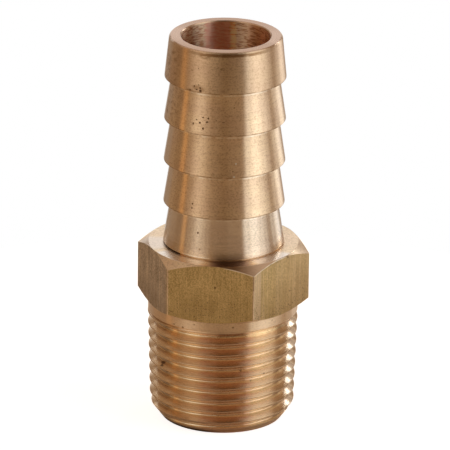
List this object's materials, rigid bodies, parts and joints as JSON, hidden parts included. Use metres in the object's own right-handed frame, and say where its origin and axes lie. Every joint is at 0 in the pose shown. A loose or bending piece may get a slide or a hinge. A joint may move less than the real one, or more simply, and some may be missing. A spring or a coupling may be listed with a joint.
{
  "type": "hose barb tail",
  "caption": "Straight brass fitting: taper pipe thread at the foot, hexagon for a spanner, and a barbed tail that a hose is pushed over, with a plain bore right through.",
  "frame": {"origin": "centre of the threaded end face", "axes": "+Z along the bore, from the threaded end to the hose end; two corners of the hexagon lie on X and two of its flats face Y"},
  "size_m": [0.0202, 0.0174, 0.0463],
  "materials": {
    "brass": "satin"
  },
  "bodies": {
    "root": {"hose_barb_tail": "brass"}
  },
  "joints": []
}
